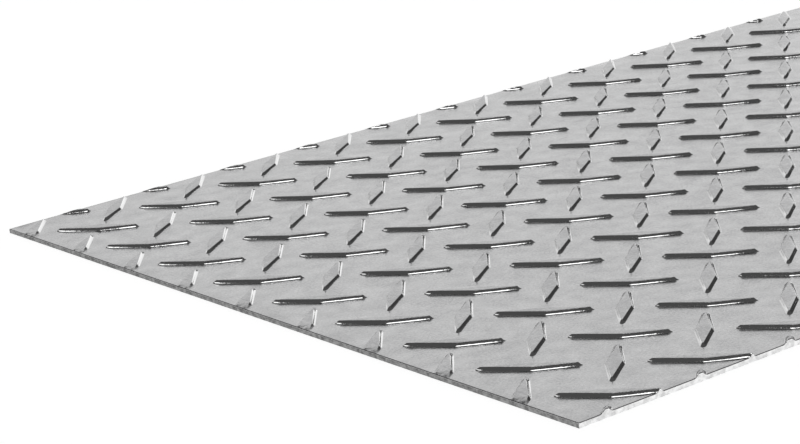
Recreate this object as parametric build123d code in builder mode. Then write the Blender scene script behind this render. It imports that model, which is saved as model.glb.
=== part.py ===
"""Checker plate: a flat sheet of rolled steel with raised tread lugs on its top face."""

import os
from math import ceil, cos, radians, sin

from build123d import *

# Sheet, in millimetres
sheet_length = 609.6
sheet_width = 304.8
sheet_thickness = 1.59

# One lug: a low, long diamond with flat flanks, a flat top and blunter ends
lug_length = 30.2
lug_width = 5.7
lug_height = 1.0
lug_shoulder_reach = 11.0
lug_shoulder_width = 2.5
lug_flank_taper = 30.0

# Tread pattern: two families of lugs at right angles, each on the same square grid
lug_pitch = 33.26
lug_heading = 45.0
row_drift = 0.34
first_lug_from_end = 2.4
first_lug_from_far_edge = 12.55

# How far in from a shear-flattened edge its cut lugs slope down to the sheet
end_slope_run = 3.3
far_edge_slope_run = 2.6

# Half of a lug's extent along and across the sheet
reach_along = lug_length / 2 * cos(radians(lug_heading))
reach_across = lug_length / 2 * sin(radians(lug_heading))


def lug_corners():
    """Outline of one lug that lies along X, from its right tip round to the shoulder below it."""
    tip = lug_length / 2
    flank = lug_width / 2
    shoulder = lug_shoulder_width / 2
    return [
        (tip, 0),
        (lug_shoulder_reach, shoulder),
        (0, flank),
        (-lug_shoulder_reach, shoulder),
        (-tip, 0),
        (-lug_shoulder_reach, -shoulder),
        (0, -flank),
        (lug_shoulder_reach, -shoulder),
    ]


def lug_places(start_x, start_y, heading):
    """Places of one family of lugs on its grid, as those inside the sheet and those an edge cuts."""
    whole, cut = [], []
    for row in range(-1, ceil(sheet_width / lug_pitch) + 2):
        for column in range(-1, ceil(sheet_length / lug_pitch) + 2):
            x = start_x + lug_pitch * cos(radians(row_drift)) * column
            y = start_y + lug_pitch * (sin(radians(row_drift)) * column - row)
            past_end = abs(x) - sheet_length / 2
            past_side = abs(y) - sheet_width / 2
            place = Location((x, y, 0), (0, 0, heading))
            if past_end <= -reach_along and past_side <= -reach_across:
                whole.append(place)
            elif past_end < reach_along and past_side < reach_across:
                cut.append(place)
    return whole, cut


first_x = first_lug_from_end - sheet_length / 2
first_y = sheet_width / 2 - first_lug_from_far_edge
rising_whole, rising_cut = lug_places(first_x, first_y, lug_heading)
falling_whole, falling_cut = lug_places(
    first_x + lug_pitch / 2, first_y - lug_pitch / 2, -lug_heading
)

# One lug, standing at the height of the sheet's top face
with BuildPart() as lug:
    with BuildSketch(Plane.XY.offset(sheet_thickness)):
        Polygon(*lug_corners(), align=None)
    extrude(amount=lug_height, taper=lug_flank_taper)

# The room the cut lugs may fill: square at the near edge, sloped down at both ends and the far edge
tread_top = sheet_thickness + lug_height
with BuildPart() as tread_room:
    with BuildSketch(Plane.XZ.offset(-sheet_width / 2)):
        Polygon(
            (-sheet_length / 2, 0),
            (sheet_length / 2, 0),
            (sheet_length / 2, sheet_thickness),
            (sheet_length / 2 - end_slope_run, tread_top),
            (-sheet_length / 2 + end_slope_run, tread_top),
            (-sheet_length / 2, sheet_thickness),
            align=None,
        )
    extrude(amount=sheet_width)
    with BuildSketch(Plane.YZ.offset(-sheet_length / 2)):
        Polygon(
            (sheet_width / 2, sheet_thickness),
            (sheet_width / 2, tread_top),
            (sheet_width / 2 - far_edge_slope_run, tread_top),
            align=None,
        )
    extrude(amount=sheet_length, mode=Mode.SUBTRACT)

# The lugs that the sheared edges cut through
with BuildPart() as cut_lugs:
    with Locations(*rising_cut, *falling_cut):
        add(lug.part, clean=False)
    add(tread_room.part, clean=False, mode=Mode.INTERSECT)

# The sheet with its whole tread
with BuildPart() as checker_plate:
    with BuildSketch():
        Rectangle(sheet_length, sheet_width)
    extrude(amount=sheet_thickness)
    add(cut_lugs.part, clean=False)
    with Locations(*rising_whole, *falling_whole):
        add(lug.part, clean=False)

checker_plate.part.label = "checker_plate"

os.makedirs("parts", exist_ok=True)
export_step(checker_plate.part, "parts/checker_plate.step")
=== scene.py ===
"""Bright rolled steel checker plate lying flat on a white studio floor."""

from math import ceil, cos, radians, sin

import bmesh
import bpy
import numpy as np
from mathutils import Matrix, Vector
from mathutils.geometry import delaunay_2d_cdt


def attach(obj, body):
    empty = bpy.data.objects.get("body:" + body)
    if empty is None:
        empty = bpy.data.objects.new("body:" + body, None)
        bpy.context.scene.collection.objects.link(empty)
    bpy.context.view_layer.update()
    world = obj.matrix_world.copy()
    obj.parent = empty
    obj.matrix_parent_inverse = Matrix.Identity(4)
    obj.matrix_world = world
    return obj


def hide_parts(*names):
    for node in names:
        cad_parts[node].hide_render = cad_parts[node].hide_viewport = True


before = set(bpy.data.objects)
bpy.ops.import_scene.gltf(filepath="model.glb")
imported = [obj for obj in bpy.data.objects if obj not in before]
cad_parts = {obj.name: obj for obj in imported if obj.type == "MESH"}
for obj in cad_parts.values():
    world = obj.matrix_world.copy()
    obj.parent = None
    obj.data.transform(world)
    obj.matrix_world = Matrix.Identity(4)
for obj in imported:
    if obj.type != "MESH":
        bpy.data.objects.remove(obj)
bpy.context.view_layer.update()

MM = 0.001

# Sheet and tread, in millimetres and degrees, as in the solid
SHEET_LENGTH = 609.6
SHEET_WIDTH = 304.8
SHEET_THICKNESS = 1.59
LUG_LENGTH = 30.2
LUG_HEIGHT = 1.0
LUG_PITCH = 33.26
LUG_HEADING = 45.0
ROW_DRIFT = 0.34
FIRST_FROM_END = 2.4
FIRST_FROM_FAR_EDGE = 12.55
LUG_REACH = LUG_LENGTH / 2 * cos(radians(LUG_HEADING))

# Half outline of a lug, at its foot and at its flat top: tip of the one end, its shoulder along
# and across, half width in the middle, then shoulder along and across and tip of the other end
FOOT_OUTLINE = (16.2, 14.2, 1.5, 3.2, -13.9, 1.2, -15.3)
TOP_OUTLINE = (13.5, 10.8, 0.35, 2.1, -12.7, 0.22, -13.4)
MIDDLE_ALONG = -0.8

# Where the point that blunts an end lies: share of the way to the shoulder, along and across
NOSE_ALONG = 0.35
NOSE_ACROSS = 0.5

# Points along a flank, as shares of the way from its middle to a shoulder: the fine ones for
# lugs that a worn edge cuts, the others for all the rest
STEPS = (0.06, 0.5)
FINE_STEPS = (0.06, 0.15, 0.25, 0.35, 0.45, 0.55, 0.65, 0.75, 0.85, 0.93)

# Section of a lug from its foot to its top: share of the way in, and share of the height
PROFILE = (
    (0.0, 0.0),
    (0.18, 0.01),
    (0.27, 0.035),
    (0.33, 0.085),
    (0.6, 0.33),
    (0.65, 0.41),
    (0.94, 0.93),
    (1.0, 0.985),
    (1.05, 1.0),
)
# Size of the innermost ring of a flat top against the outline round it, along and across
TOP_INSET = (0.92, 0.5)

# How far in from a worn edge its lugs start to slope down to the sheet
FAR_EDGE_FADE = 2.6
END_FADE = 3.3

# Sheared edges: round at the top, height of a line along the wall, chamfer at the bottom, and
# how far out from the middle the rounds begin
EDGE_ROUND = 0.28
ROUND_ANGLES = (30, 60, 90)
WALL_LINE = 0.62
BOTTOM_CHAMFER = 0.06
RIM_X = SHEET_LENGTH / 2 - EDGE_ROUND
RIM_Y = SHEET_WIDTH / 2 - EDGE_ROUND

# Angle between two faces above which the edge between them is shaded sharp
SHARP_ANGLE = 38.0

# Spare room round the sheet before it is cut to size, in millimetres and in rows of lugs
FOOT_MARGIN = 3.0
SPARE_BORDER = 26.0
SPARE_ROWS = 2

# Tolerances of the mesh, and what its triangulation gives: the triangles inside the outlines
ON_RIM = 1e-3
CUT_TOLERANCE = 1e-5
WELD_DISTANCE = 1e-6
TRIANGLES_INSIDE = 1

# Materials of the sheet, by slot: the long sides get a pale copy of the sheared steel, which is
# painted light, and the ends get a dark copy, which is painted shade
PAINTED_LIGHT_SIDE, PAINTED_SHADE_END = 1, 2

# Rolled steel: its tones, the roughness of the flanks, how much darker the tops are, and the
# shares of a lug's height between which the flank and the top take over
PALE_STEEL = (0.7, 0.7, 0.702, 1)
DARK_STEEL = (0.43, 0.43, 0.435, 1)
FLANK_TONE = 0.75
FLANK_ROUGHNESS = 0.09
TOP_DARKENING = 0.3
FLANK_BEGINS = (0.03, 0.07)
TOP_BEGINS = (0.88, 0.96)

# How far in from the slope of the worn lugs, in millimetres, their flanks start to lose their tone
WORN_FADE = 0.4

# Part of the noise that is spread out, for the clouds in the steel and for the grain of shearing
CLOUD_RANGE = (0.3, 0.7)
GRAIN_RANGE = (0.35, 0.65)

# Floor, in metres, and its tone and glow
FLOOR_HALF = 20.0
FLOOR_DROP = 0.00002
FLOOR_TONE = 0.45
FLOOR_GLOW = 0.9

# Studio: elevations between which the pale walls give way to the dark ceiling, the strength of
# each, and the least light from anywhere
WALLS_END, CEILING_BEGINS = 4, 13
WALL_LIGHT, CEILING_LIGHT = 0.28, 0.08
LEAST_LIGHT = 0.05

# Soft boxes and dark flags: azimuth, elevation, inner and outer angle, strength
SOFT_BOXES = (
    (54.0, 14.0, 26.0, 35.0, 0.715),
    (37.0, 12.0, 5.0, 9.0, 0.25),
    (-122.0, 82.5, 7.0, 9.5, 2.4),
    (118.0, 56.0, 8.0, 12.0, 1.6),
    (-58.0, -8.0, 18.0, 32.0, 1.5),
    (12.0, 10.0, 8.5, 11.5, -0.9),
    (66.0, -2.0, 7.0, 13.0, -0.45),
)

# Camera, in metres, fitted to the lug corners and the edges in the photograph
CAMERA_PLACE = (-0.68836, -0.62876, 0.23325)
CAMERA_LOOK = (0.5533, 0.78675, -0.27366)
CAMERA_RIGHT = (0.79611, -0.59612, -0.10419)
LENS, SENSOR_WIDTH = 114.94, 36.0
CLIP_START, CLIP_END = 0.05, 60.0


def lug_ring(share, steps):
    """Corner points of a lug's outline, part of the way in from its foot to its top."""
    tip, along, across, flank, back_along, back_across, back_tip = (
        foot + (top - foot) * share for foot, top in zip(FOOT_OUTLINE, TOP_OUTLINE)
    )

    def nose(end, shoulder_along, shoulder_across):
        """Point that blunts an end, between its tip and its shoulder."""
        return end + (shoulder_along - end) * NOSE_ALONG, shoulder_across * NOSE_ACROSS

    def on_flank(shoulder_along, shoulder_across, part):
        """Point part of the way from the middle of a flank to a shoulder."""
        return (
            MIDDLE_ALONG + (shoulder_along - MIDDLE_ALONG) * part,
            flank + (shoulder_across - flank) * part,
        )

    upper = [(tip, 0.0), nose(tip, along, across), (along, across)]
    upper += [on_flank(along, across, part) for part in reversed(steps)]
    upper.append((MIDDLE_ALONG, flank))
    upper += [on_flank(back_along, back_across, part) for part in steps]
    upper += [(back_along, back_across), nose(back_tip, back_along, back_across), (back_tip, 0.0)]
    return np.array(upper + [(x, -y) for x, y in upper[-2:0:-1]])


def height_limit(x, y, crosses_far, crosses_end):
    """Height a lug may keep at a place near the worn edges that it crosses."""
    limit = LUG_HEIGHT
    if crosses_far:
        limit = min(limit, LUG_HEIGHT * (SHEET_WIDTH / 2 - y) / FAR_EDGE_FADE)
    if crosses_end:
        limit = min(limit, LUG_HEIGHT * (SHEET_LENGTH / 2 - abs(x)) / END_FADE)
    return max(limit, 0.0)


def lug_centres():
    """Centre and heading of every lug whose foot comes near the sheet."""
    margin = LUG_REACH + FOOT_MARGIN
    drift = radians(ROW_DRIFT)
    first_x = FIRST_FROM_END - SHEET_LENGTH / 2
    first_y = SHEET_WIDTH / 2 - FIRST_FROM_FAR_EDGE
    rows = range(-SPARE_ROWS, ceil(SHEET_WIDTH / LUG_PITCH) + SPARE_ROWS)
    columns = range(-SPARE_ROWS, ceil(SHEET_LENGTH / LUG_PITCH) + SPARE_ROWS)
    found = []
    # the second family lies across the first, half a pitch further along and towards the viewer
    for shift, heading in ((0.0, LUG_HEADING), (0.5, LUG_HEADING + 90.0)):
        for row in rows:
            for column in columns:
                x = first_x + LUG_PITCH * (shift + cos(drift) * column)
                y = first_y + LUG_PITCH * (sin(drift) * column - row - shift)
                if abs(x) < SHEET_LENGTH / 2 + margin and abs(y) < SHEET_WIDTH / 2 + margin:
                    found.append((x, y, radians(heading)))
    return found


def join_rings(sheet, outer, inner):
    """Faces between two rings of as many vertices."""
    around = len(outer)
    for i in range(around):
        j = (i + 1) % around
        sheet.faces.new((outer[i], outer[j], inner[j], inner[i]))


def add_lug(sheet, x, y, heading):
    """Add one lug, its flanks ring by ring and then its flat top, and return its foot."""
    turn = np.array([[cos(heading), sin(heading)], [-sin(heading), cos(heading)]])
    crosses_far = y + LUG_REACH > SHEET_WIDTH / 2
    crosses_end = abs(x) + LUG_REACH > SHEET_LENGTH / 2
    steps = FINE_STEPS if crosses_far or crosses_end else STEPS

    def raised(outline, height):
        """Vertices round an outline, as high as the edges near them leave the lug."""
        ring = []
        for px, py in outline @ turn + (x, y):
            rise = min(height, height_limit(px, py, crosses_far, crosses_end))
            ring.append(sheet.verts.new((px, py, SHEET_THICKNESS + rise)))
        return ring

    rings = [raised(lug_ring(share, steps), height * LUG_HEIGHT) for share, height in PROFILE]
    middle = (MIDDLE_ALONG, 0)
    top_outline = lug_ring(PROFILE[-1][0], steps)
    rings.append(raised((top_outline - middle) * TOP_INSET + middle, LUG_HEIGHT))
    for outer, inner in zip(rings, rings[1:]):
        join_rings(sheet, outer, inner)

    # the flat top, in strips across the lug
    top = rings[-1]
    half = len(top) // 2
    sheet.faces.new((top[0], top[1], top[-1]))
    for i in range(1, half - 1):
        sheet.faces.new((top[i], top[i + 1], top[-i - 1], top[-i]))
    sheet.faces.new((top[half - 1], top[half], top[half + 1]))
    return rings[0]


def fill_flat(sheet, feet):
    """Flat faces between the feet of the lugs, out to a border past the sheared edges."""
    out_x, out_y = SHEET_LENGTH / 2 + SPARE_BORDER, SHEET_WIDTH / 2 + SPARE_BORDER
    corners = ((-out_x, -out_y), (out_x, -out_y), (out_x, out_y), (-out_x, out_y))
    border = [sheet.verts.new((x, y, SHEET_THICKNESS)) for x, y in corners]
    verts, edges, owner = [], [], []
    for number, loop in enumerate(feet + [border]):
        start, around = len(verts), len(loop)
        verts.extend(loop)
        edges.extend((start + i, start + (i + 1) % around) for i in range(around))
        owner.extend([number] * around)
    points = [v.co.xy for v in verts]
    faces, origins = delaunay_2d_cdt(points, edges, [], TRIANGLES_INSIDE, WELD_DISTANCE)[2:4]
    for face in faces:
        ids = [origins[i][0] for i in face]
        # a face with all its corners on one foot lies under that lug
        if len({owner[i] for i in ids}) > 1:
            sheet.faces.new([verts[i] for i in ids])


def shear_to_size(sheet):
    """Cut the sheet where its rounded edges begin."""
    for axis, limit in ((0, RIM_X), (1, RIM_Y)):
        for sign in (-1, 1):
            place, normal = [0, 0, 0], [0, 0, 0]
            place[axis] = sign * limit
            normal[axis] = sign
            bmesh.ops.bisect_plane(
                sheet,
                geom=sheet.verts[:] + sheet.edges[:] + sheet.faces[:],
                plane_co=place,
                plane_no=normal,
                clear_outer=True,
                dist=CUT_TOLERANCE,
            )


def close_below(sheet):
    """Rounded top edge, sheared walls and underside, down from the rim of the cut sheet."""
    rim = [e for e in sheet.edges if e.is_boundary]
    # only the near edge keeps the full section of its lugs
    for v in {v for e in rim for v in e.verts}:
        if v.co.y > RIM_Y - ON_RIM or abs(v.co.x) > RIM_X - ON_RIM:
            v.co.z = SHEET_THICKNESS
    tops = {v: v.co.copy() for e in rim for v in e.verts}

    def outward(co):
        """Direction that a place on the rim faces, with both directions at a corner."""
        x = (co.x > RIM_X - ON_RIM) - (co.x < -RIM_X + ON_RIM)
        y = (co.y > RIM_Y - ON_RIM) - (co.y < -RIM_Y + ON_RIM)
        return Vector((x, y, 0.0))

    # each row: how far out, and either how far down from the rim or its height
    rows = []
    for angle in ROUND_ANGLES:
        turn = radians(angle)
        rows.append((sin(turn) * EDGE_ROUND, (1 - cos(turn)) * EDGE_ROUND, None))
    rows.append((EDGE_ROUND, None, WALL_LINE))
    rows.append((EDGE_ROUND, None, BOTTOM_CHAMFER))
    rows.append((EDGE_ROUND - BOTTOM_CHAMFER, None, 0.0))

    previous = {v: v for v in tops}
    for out_by, down, height in rows:
        sheared = height is not None
        current = {}
        for v, co in tops.items():
            current[v] = sheet.verts.new(co + outward(co) * out_by)
            current[v].co.z = height if sheared else co.z - down
        for e in rim:
            a, b = e.verts
            face = sheet.faces.new((previous[a], previous[b], current[b], current[a]))
            if sheared:
                # the long sides take the copy with painted light, and the ends take the copy with
                # painted shade
                at_end = outward(tops[a]).x and outward(tops[b]).x
                face.material_index = PAINTED_SHADE_END if at_end else PAINTED_LIGHT_SIDE
        previous = current
    bottom = [sheet.edges.get((previous[e.verts[0]], previous[e.verts[1]])) for e in rim]
    bmesh.ops.holes_fill(sheet, edges=bottom, sides=0)


def build_plate():
    """One closed mesh: flat face, lugs with filleted feet, rounded sheared edges, underside."""
    sheet = bmesh.new()
    feet = [add_lug(sheet, x, y, heading) for x, y, heading in lug_centres()]
    fill_flat(sheet, feet)
    sheet.normal_update()
    shear_to_size(sheet)
    close_below(sheet)
    bmesh.ops.recalc_face_normals(sheet, faces=sheet.faces[:])
    bmesh.ops.scale(sheet, vec=(MM, MM, MM), verts=sheet.verts[:])
    for face in sheet.faces:
        face.smooth = True
    mesh = bpy.data.meshes.new("checker_sheet")
    sheet.to_mesh(mesh)
    sheet.free()
    mesh.set_sharp_from_angle(angle=radians(SHARP_ANGLE))
    return bpy.data.objects.new("checker_sheet", mesh)


def grey(tone):
    """Opaque grey of a tone."""
    return (tone, tone, tone, 1)


def feed(tree, socket, value):
    """Link a socket to the one that feeds it, or set it to a constant."""
    if isinstance(value, bpy.types.NodeSocket):
        tree.links.new(value, socket)
    else:
        socket.default_value = value


def joined(tree, operation, *values, clamp=False):
    """One number from others, each a socket or a constant."""
    node = tree.nodes.new("ShaderNodeMath")
    node.operation = operation
    node.use_clamp = clamp
    for socket, value in zip(node.inputs, values):
        feed(tree, socket, value)
    return node.outputs[0]


def spread(tree, value, from_min, from_max, to_min=0.0, to_max=1.0, smooth=False):
    """Number moved from one range into another."""
    node = tree.nodes.new("ShaderNodeMapRange")
    node.interpolation_type = "SMOOTHSTEP" if smooth else "LINEAR"
    node.inputs["From Min"].default_value = from_min
    node.inputs["From Max"].default_value = from_max
    node.inputs["To Min"].default_value = to_min
    node.inputs["To Max"].default_value = to_max
    tree.links.new(value, node.inputs["Value"])
    return node.outputs["Result"]


def blend(tree, kind, factor, first, second):
    """Mix of two colours or numbers, each a socket or a constant."""
    node = tree.nodes.new("ShaderNodeMix")
    node.data_type = kind
    tree.links.new(factor, node.inputs["Factor"])
    feed(tree, node.inputs["A"], first)
    feed(tree, node.inputs["B"], second)
    return node.outputs["Result"]


def noise(tree, place, scale, detail):
    """Cloudy noise."""
    node = tree.nodes.new("ShaderNodeTexNoise")
    node.inputs["Scale"].default_value = scale
    node.inputs["Detail"].default_value = detail
    tree.links.new(place, node.inputs["Vector"])
    return node.outputs["Fac"]


def bump(tree, height, strength, distance):
    """Surface direction of fine relief."""
    node = tree.nodes.new("ShaderNodeBump")
    node.inputs["Strength"].default_value = strength
    node.inputs["Distance"].default_value = distance
    tree.links.new(height, node.inputs["Height"])
    return node.outputs["Normal"]


def new_material(name):
    """A new material, its node tree and its shader."""
    material = bpy.data.materials.new(name)
    material.use_nodes = True
    return material, material.node_tree, material.node_tree.nodes["Principled BSDF"]


def rolled_steel():
    """Mottled satin steel, a touch darker on the lug tops and bright on their flanks."""
    material, tree, shader = new_material("rolled_steel")
    shader.inputs["Metallic"].default_value = 1.0
    place = tree.nodes.new("ShaderNodeTexCoord").outputs["Object"]
    axes = tree.nodes.new("ShaderNodeSeparateXYZ")
    tree.links.new(place, axes.inputs[0])

    def cloudy(scale, detail, low, high):
        """Noise spread over a range of values."""
        return spread(tree, noise(tree, place, scale, detail), *CLOUD_RANGE, low, high)

    def rise(shares, result):
        """Number that grows from nothing to its result between two shares of a lug's height."""
        low, high = ((SHEET_THICKNESS + share * LUG_HEIGHT) * MM for share in shares)
        return spread(tree, axes.outputs["Z"], low, high, 0.0, result)

    def added(first, second):
        """Sum of two numbers, kept between nothing and one."""
        return joined(tree, "ADD", first, second, clamp=True)

    # the cut lugs that are worn down towards the short ends keep the grey of the sheet
    from_middle = joined(tree, "ABSOLUTE", axes.outputs["X"])
    worn_from = (SHEET_LENGTH / 2 - END_FADE - WORN_FADE) * MM
    worn_to = (SHEET_LENGTH / 2 - END_FADE) * MM
    worn = spread(tree, from_middle, worn_from, worn_to, 0.0, -1.0)
    flank = added(added(rise(FLANK_BEGINS, 1.0), rise(TOP_BEGINS, -1.0)), worn)

    patches = cloudy(scale=160.0, detail=3.0, low=0.0, high=0.45)
    specks = cloudy(scale=1300.0, detail=3.0, low=0.0, high=0.5)
    mottle = added(added(patches, specks), rise(TOP_BEGINS, TOP_DARKENING))
    rolled = blend(tree, "RGBA", mottle, PALE_STEEL, DARK_STEEL)
    colour = blend(tree, "RGBA", flank, rolled, grey(FLANK_TONE))
    satin = cloudy(scale=90.0, detail=4.0, low=0.17, high=0.25)
    roughness = blend(tree, "FLOAT", flank, satin, FLANK_ROUGHNESS)
    ripples = cloudy(scale=900.0, detail=5.0, low=0.0, high=1.0)
    relief = bump(tree, ripples, strength=0.5, distance=0.00003)
    tree.links.new(colour, shader.inputs["Base Color"])
    tree.links.new(roughness, shader.inputs["Roughness"])
    tree.links.new(relief, shader.inputs["Normal"])
    return material


def sheared_steel(name, darkest, palest, roughness):
    """Rough grainy steel of a sheared edge: the grain is the steel's own, and its darkest and
    palest tones are painted, as light on the long sides and as shade on the ends.
    """
    material, tree, shader = new_material(name)
    shader.inputs["Metallic"].default_value = 1.0
    shader.inputs["Roughness"].default_value = roughness
    place = tree.nodes.new("ShaderNodeTexCoord").outputs["Object"]
    grain = noise(tree, place, scale=700.0, detail=5.0)
    tone = spread(tree, grain, *GRAIN_RANGE)
    colour = blend(tree, "RGBA", tone, grey(darkest), grey(palest))
    relief = bump(tree, grain, strength=0.6, distance=0.0003)
    tree.links.new(colour, shader.inputs["Base Color"])
    tree.links.new(relief, shader.inputs["Normal"])
    return material


def white_floor():
    """A floor that looks white and keeps the sheet's shadow."""
    half = FLOOR_HALF
    corners = [(-half, -half, 0), (half, -half, 0), (half, half, 0), (-half, half, 0)]
    mesh = bpy.data.meshes.new("floor")
    mesh.from_pydata(corners, [], [(0, 1, 2, 3)])
    floor = bpy.data.objects.new("floor", mesh)
    floor.location.z = -FLOOR_DROP
    bpy.context.collection.objects.link(floor)
    material, tree, shader = new_material("floor_white")
    tree.nodes.remove(shader)
    diffuse = tree.nodes.new("ShaderNodeBsdfDiffuse")
    diffuse.inputs["Color"].default_value = grey(FLOOR_TONE)
    # the glow shows to the camera and in the steel, and lights nothing else
    path = tree.nodes.new("ShaderNodeLightPath").outputs
    seen = joined(tree, "MAXIMUM", path["Is Camera Ray"], path["Is Glossy Ray"])
    glow = tree.nodes.new("ShaderNodeEmission")
    tree.links.new(joined(tree, "MULTIPLY", seen, FLOOR_GLOW), glow.inputs["Strength"])
    both = tree.nodes.new("ShaderNodeAddShader")
    tree.links.new(diffuse.outputs[0], both.inputs[0])
    tree.links.new(glow.outputs[0], both.inputs[1])
    tree.links.new(both.outputs[0], tree.nodes["Material Output"].inputs["Surface"])
    mesh.materials.append(material)


def soft_box(tree, place, azimuth, elevation, inner, outer, strength):
    """Light of one strength inside the inner angle, fading out to nothing at the outer one."""
    a, e = radians(azimuth), radians(elevation)
    towards = tree.nodes.new("ShaderNodeVectorMath")
    towards.operation = "DOT_PRODUCT"
    towards.inputs[1].default_value = (cos(a) * cos(e), sin(a) * cos(e), sin(e))
    tree.links.new(place, towards.inputs[0])
    near, far = cos(radians(inner)), cos(radians(outer))
    return spread(tree, towards.outputs["Value"], far, near, 0.0, strength, smooth=True)


def studio_world():
    """Soft studio surroundings: pale walls, a darker ceiling, soft boxes and dark flags."""
    world = bpy.data.worlds.new("studio")
    world.use_nodes = True
    bpy.context.scene.world = world
    tree = world.node_tree
    place = tree.nodes.new("ShaderNodeTexCoord").outputs["Generated"]
    axes = tree.nodes.new("ShaderNodeSeparateXYZ")
    tree.links.new(place, axes.inputs[0])
    ceiling, walls = sin(radians(CEILING_BEGINS)), sin(radians(WALLS_END))
    up = axes.outputs["Z"]
    total = spread(tree, up, ceiling, walls, CEILING_LIGHT, WALL_LIGHT, smooth=True)
    for box in SOFT_BOXES:
        total = joined(tree, "ADD", total, soft_box(tree, place, *box))
    background = tree.nodes["Background"]
    total = joined(tree, "MAXIMUM", total, LEAST_LIGHT)
    tree.links.new(total, background.inputs["Strength"])
    background.inputs["Color"].default_value = grey(1)


def camera():
    """Camera at the photograph's viewing angle."""
    data = bpy.data.cameras.new("camera")
    data.sensor_width = SENSOR_WIDTH
    data.lens = LENS
    data.clip_start, data.clip_end = CLIP_START, CLIP_END
    view = bpy.data.objects.new("camera", data)
    bpy.context.collection.objects.link(view)
    place = Vector(CAMERA_PLACE)
    look = Vector(CAMERA_LOOK).normalized()
    right = Vector(CAMERA_RIGHT)
    right = (right - look * right.dot(look)).normalized()
    up = right.cross(look)
    view.matrix_world = Matrix(
        (
            (right.x, up.x, -look.x, place.x),
            (right.y, up.y, -look.y, place.y),
            (right.z, up.z, -look.z, place.z),
            (0, 0, 0, 1),
        )
    )
    bpy.context.scene.camera = view


bpy.context.scene.view_settings.view_transform = "Standard"
plate = build_plate()
bpy.context.collection.objects.link(plate)
materials = (
    rolled_steel(),
    # the long sides' copy of the sheared steel is painted pale as light, and the ends' copy is
    # painted dark as shade; the grain is the steel's own
    sheared_steel("side_wall_painted_light", darkest=0.66, palest=0.95, roughness=0.35),
    sheared_steel("end_wall_painted_shade", darkest=0.18, palest=0.42, roughness=0.5),
)
for material in materials:
    plate.data.materials.append(material)
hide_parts("checker_plate")
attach(plate, "root")
white_floor()
studio_world()
camera()
